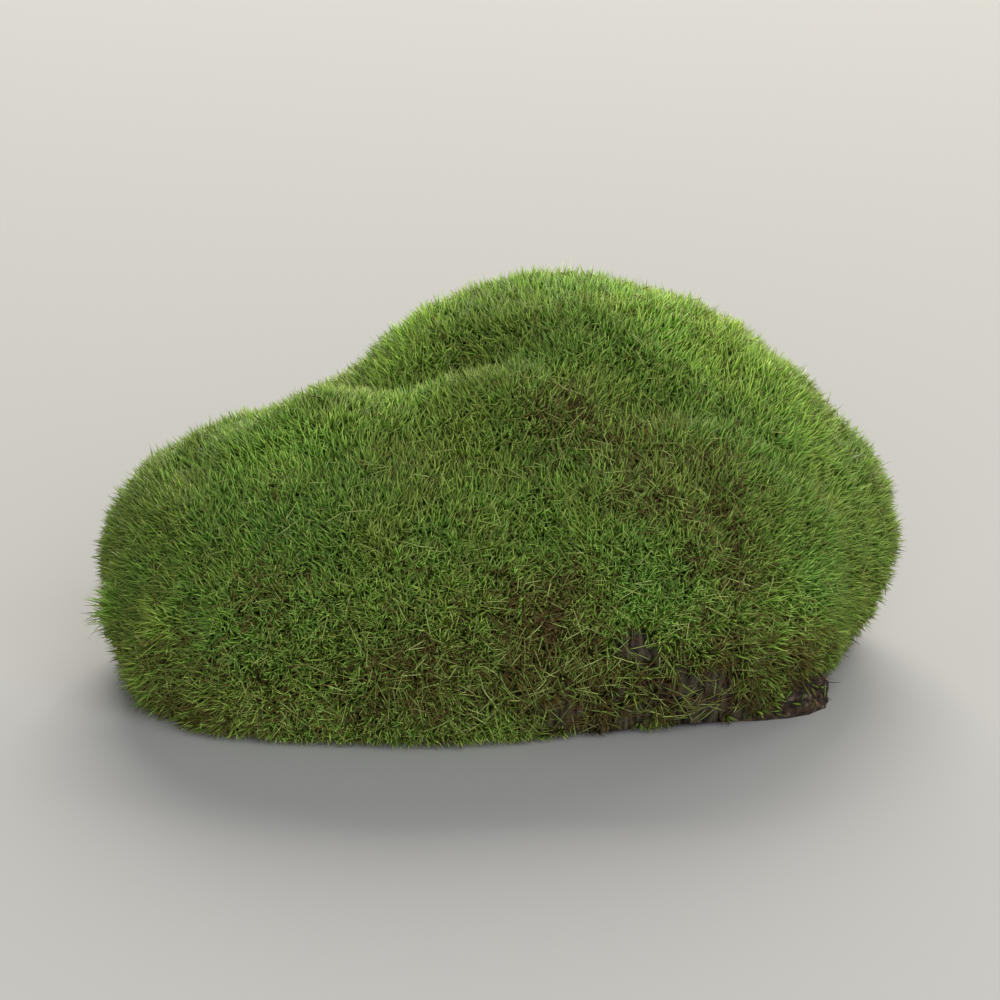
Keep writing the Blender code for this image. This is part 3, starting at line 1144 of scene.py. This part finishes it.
@dataclass
class Soil:
    """The mat of soil, crumbled where it comes out from under the cushion."""

    crumble: float = 1.5 * MM
    crumble_span: float = 2.6 * MM
    tongue_bearing: float = math.radians(-27)
    tongue_spread: float = math.radians(42)
    cut_side: float = 8 * MM       # faces up to this large are cut finer,
    cuts: int = 2                  # this many times,
    facing: float = -0.5           # unless they face down more than this
    rim: float = 0.2 * MM          # the mat keeps its outline up to this height
    hidden_share: float = 0.45     # of the tongue's faces, under the cushion
    crumbs: int = 520
    crumb_size: float = 1.1 * MM
    crumb_play: float = 0.4
    crumb_flatness: float = 0.6
    crumb_low: float = 0.8         # how far its points lie in or out
    crumb_high: float = 1.1
    crumb_sunk: float = 0.15
    crumb_floor: float = 0.1 * MM
    rootlets: int = 320
    rootlet_length: float = 5.5 * MM
    rootlet_width: float = 0.2 * MM
    fallen: int = 90               # leaves that lie on the crumbs
    fallen_length: float = 4.6 * MM
    fallen_width: float = 0.6 * MM
    fallen_lift: float = 0.6       # as a share of a crumb
    fallen_shades: tuple[float, float] = (0.3, 0.8)
    fallen_tones: tuple[float, float] = (0.2, 0.9)
    fallen_green: int = 3          # the higher, the more of them are still green
    slope: float = 0.08            # of what lies on the soil
    slope_play: float = 0.12
    shortest: float = 0.5          # as a share of the usual length
    longest: float = 1.2
    width_play: float = 0.15
    bow: float = 0.3
    seed: int = 500
    centre: Vector = field(init=False)
    material: bpy.types.Material = field(init=False)
    rng: np.random.Generator = field(init=False)

    def __post_init__(self) -> None:
        """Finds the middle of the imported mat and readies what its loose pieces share."""
        low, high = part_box(MAT)
        self.centre = (low + high) / 2
        self.material = CRUMBLED_SOIL.material()
        self.rng = np.random.default_rng(self.seed)

    def build(self) -> None:
        """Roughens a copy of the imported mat, inward only, and strews the loose pieces on it."""
        piece = merged_copy(MAT, "soil_body")
        for polygon in piece.data.polygons:
            small = polygon.area < self.cut_side**2 and polygon.normal.z > self.facing
            polygon.select = small and self.in_tongue(polygon.center)
        bpy.ops.object.mode_set(mode="EDIT")
        bpy.ops.mesh.select_mode(type="FACE")
        bpy.ops.mesh.subdivide(number_cuts=self.cuts)
        bpy.ops.object.mode_set(mode="OBJECT")
        points = points_of(piece.data)
        normals = np.array([vertex.normal for vertex in piece.data.vertices])
        rough = scatter_noise(points, self.crumble_span, Shift.CRUMBLE)[:, 0]
        depth = self.crumble * np.clip(0.5 + rough, 0, 1)
        raised = points[:, 2] > self.rim
        points[raised] -= normals[raised] * depth[raised, None]
        points[:, 2] = np.maximum(points[:, 2], 0)
        piece.data.vertices.foreach_set("co", points.astype(np.float32).ravel())
        piece.data.update()
        dress(piece, self.material, MAT)
        self.strew(piece)

    def in_tongue(self, point: Vector) -> bool:
        """Tells where the mat comes out from under the cushion.

        Args:
            point: a point of the mat.

        Returns:
            Whether it is there.
        """
        middle = point - self.centre
        off = math.remainder(math.atan2(middle.y, middle.x) - self.tongue_bearing, math.tau)
        return abs(off) < self.tongue_spread

    def strew(self, body: bpy.types.Object) -> None:
        """Strews loose crumbs, rootlets and fallen leaves over the soil that shows.

        Args:
            body: the finished mat, which they lie on.
        """
        triangles = triangles_of(body.data)
        corners = points_of(body.data)[triangles]
        areas = area_vectors(corners)
        middles = corners.mean(axis=1)
        away = np.linalg.norm((middles - np.array(self.centre))[:, :2], axis=1)
        shown = np.array([self.in_tongue(Vector(middle)) for middle in middles])
        shown &= (away > np.quantile(away[shown], self.hidden_share)) & (areas[:, 2] > 0)
        share = np.linalg.norm(areas, axis=1) * shown
        strands = self.crumbs + self.rootlets
        count = strands + self.fallen
        picked = self.rng.choice(len(triangles), count, p=share / share.sum())
        weights = self.rng.dirichlet((1, 1, 1), count)[:, :, None]
        spots = Spots((corners[picked] * weights).sum(axis=1), unit(areas[picked]))
        self.lay_crumbs(spots.picked(slice(self.crumbs)))
        self.lay_rootlets(spots.picked(slice(self.crumbs, strands)))
        self.drop_leaves(spots.picked(slice(strands, count)))

    def lay_crumbs(self, spots: Spots) -> None:
        """Joins the crumbs, each an uneven lump half sunk in the soil.

        Args:
            spots: where they lie.
        """
        deselect_all()
        bpy.ops.mesh.primitive_ico_sphere_add(subdivisions=1, radius=0.5)
        lump = bpy.context.active_object
        form, faces = points_of(lump.data), triangles_of(lump.data)
        bpy.data.objects.remove(lump, do_unlink=True)
        count = len(spots)
        size = self.crumb_size * self.rng.lognormal(0, self.crumb_play, (count, 1, 1))
        size = size * self.rng.uniform(self.crumb_flatness, 1, (count, 1, 3))
        uneven = self.rng.uniform(self.crumb_low, self.crumb_high, (count, len(form), 1))
        points = form * size * uneven
        points += (spots.places - spots.normals * self.crumb_sunk * self.crumb_size)[:, None]
        points[..., 2] = np.maximum(points[..., 2], self.crumb_floor)
        piece = joined_mesh("soil_crumbs", points, faces)
        piece.data.shade_flat()
        dress(piece, self.material, MAT)

    def lying(self, spots: Spots, length: float, width: float, shape: BladeShape) -> Blades:
        """Lays blades on the soil in loose curves.

        Args:
            spots: where their middles lie.
            length: the usual one.
            width: the usual one.
            shape: how they are drawn out.

        Returns:
            The blades, not yet joined.
        """
        count = len(spots)
        tangent = turned_out(spots.normals, self.rng.uniform(0, math.tau, count))
        slope = self.rng.normal(self.slope, self.slope_play, (count, 1))
        heading = unit(tangent + spots.normals * slope)
        lengths = length * self.rng.uniform(self.shortest, self.longest, count)
        side = unit(np.cross(heading, spots.normals))
        return Blades(
            form=BladeForm(shape),
            feet=spots.places - heading * lengths[:, None] / 2,
            headings=heading,
            bends=side * self.rng.normal(0, self.bow, (count, 1)),
            lengths=lengths,
            widths=width * self.rng.normal(1, self.width_play, count),
            flats=turned_out(heading, self.rng.uniform(0, math.tau, count)),
        )

    def lay_rootlets(self, spots: Spots) -> None:
        """Joins the rootlets, with their middles at these spots."""
        blades = self.lying(spots, self.rootlet_length, self.rootlet_width, BladeShape.STRAND)
        dress(blades.joined("rootlets"), WIRY_ROOTLETS.material(), MAT)

    def drop_leaves(self, spots: Spots) -> None:
        """Joins the fallen leaves.

        Args:
            spots: where on the soil they come to lie.
        """
        lift = spots.normals * self.crumb_size * self.fallen_lift
        raised = Spots(spots.places + lift, spots.normals)
        blades = self.lying(raised, self.fallen_length, self.fallen_width, BladeShape.SPINDLE)
        piece = blades.joined("fallen_leaves")
        values = {
            "shade": self.rng.uniform(*self.fallen_shades, len(spots)),
            "tone": self.rng.uniform(*self.fallen_tones, len(spots)),
            "dryness": self.rng.uniform(0, 1, len(spots)) ** self.fallen_green,
        }
        blades.paint(piece, values)
        blades.lay_out_map(piece, np.argsort(values["dryness"]))
        finish = LeafFinish("fallen_moss_leaf", "#576e23", "#7fa634", "#c0d472")
        dress(piece, finish.material(), CUSHION)


# ------------------------- studio


@dataclass(frozen=True)
class Lamp:
    """One square soft lamp: its place and side in metres, its power in watts and its tint."""

    name: str
    place: tuple[float, float, float]
    size: float
    power: float
    tint: str


LAMPS = (
    Lamp("back_light", (0.0, 2.72, 1.3), 1.6, 117, "#fffbf3"),
    Lamp("back_right_light", (1.36, 2.36, 1.3), 1.6, 31, "#fffbf3"),
    Lamp("front_right_light", (0.61, -1.06, 0.89), 1.0, 8.6, "#f6f9ff"),
    Lamp("front_light", (0.0, -2.1, 0.6), 1.0, 24.9, "#f6f9ff"),
)


@dataclass
class Studio:
    """A plain pale floor, soft light and the camera."""

    floor_radius: float = 4.0
    floor_sides: int = 96
    floor_colour: str = "#b2b0ac"
    floor_roughness: float = 0.9
    sky_colour: str = "#e6e9ec"
    sky_strength: float = 0.28
    distance: float = 1.8
    elevation: float = math.radians(17)
    aim: tuple[float, float, float] = (0.0, 0.0, 0.030)
    frame_width: float = 0.187      # what the camera takes in at its aim
    sensor: float = 36.0
    far_end: float = 50.0           # past the floor

    def floor(self) -> None:
        """Lays the floor that the clump rests on."""
        deselect_all()
        bpy.ops.mesh.primitive_circle_add(
            vertices=self.floor_sides, radius=self.floor_radius, fill_type="NGON"
        )
        floor = bpy.context.active_object
        floor.name = "studio_floor"
        material, _, shader = new_material("matt_pale_paper", self.floor_roughness)
        shader.inputs["Base Color"].default_value = linear(self.floor_colour)
        floor.data.materials.append(material)

    def sky(self) -> None:
        """Gives soft light from all round."""
        world = bpy.data.worlds.new("soft_sky")
        world.use_nodes = True
        background = world.node_tree.nodes["Background"]
        background.inputs["Color"].default_value = linear(self.sky_colour)
        background.inputs["Strength"].default_value = self.sky_strength
        bpy.context.scene.world = world
        bpy.context.scene.view_settings.view_transform = "Standard"

    def hang(self, lamp: Lamp) -> None:
        """Hangs one lamp so that it faces the clump.

        Args:
            lamp: what it is and where it hangs.
        """
        light = bpy.data.lights.new(lamp.name, "AREA")
        light.shape = "SQUARE"
        light.size = lamp.size
        light.energy = lamp.power
        light.color = linear(lamp.tint)[:3]
        thing = bpy.data.objects.new(lamp.name, light)
        place = Vector(lamp.place)
        thing.location = place
        thing.rotation_euler = (Vector(self.aim) - place).to_track_quat("-Z", "Y").to_euler()
        bpy.context.scene.collection.objects.link(thing)

    def camera(self) -> None:
        """Sets the camera to look along the photograph's direction."""
        data = bpy.data.cameras.new("camera")
        data.sensor_width = self.sensor
        data.lens = self.sensor * self.distance / self.frame_width
        data.clip_end = self.far_end
        camera = bpy.data.objects.new("camera", data)
        back = Vector((0, -math.cos(self.elevation), math.sin(self.elevation)))
        camera.location = Vector(self.aim) + back * self.distance
        camera.rotation_euler = (-back).to_track_quat("-Z", "Y").to_euler()
        bpy.context.scene.collection.objects.link(camera)
        bpy.context.scene.camera = camera

    def build(self) -> None:
        """Sets up the floor, the light and the camera."""
        self.floor()
        self.sky()
        for lamp in LAMPS:
            self.hang(lamp)
        self.camera()


def main() -> None:
    """Builds the clump, piece by piece, and sets it in the studio."""
    logging.basicConfig(level=logging.INFO, format="%(message)s")
    noise.seed_set(NOISE_SEED)
    skin = Skin()
    shoots = skin.shoots()
    LOG.info("shoots: %d", len(shoots))
    place = 0
    for age, whorl in WHORLS.items():
        Leaves(age, shoots, first_place=place).build()
        place += whorl.count
    Strands(skin).build()
    Thatch(skin).build()
    Soil().build()
    Studio().build()


if __name__ == "__main__":
    main()
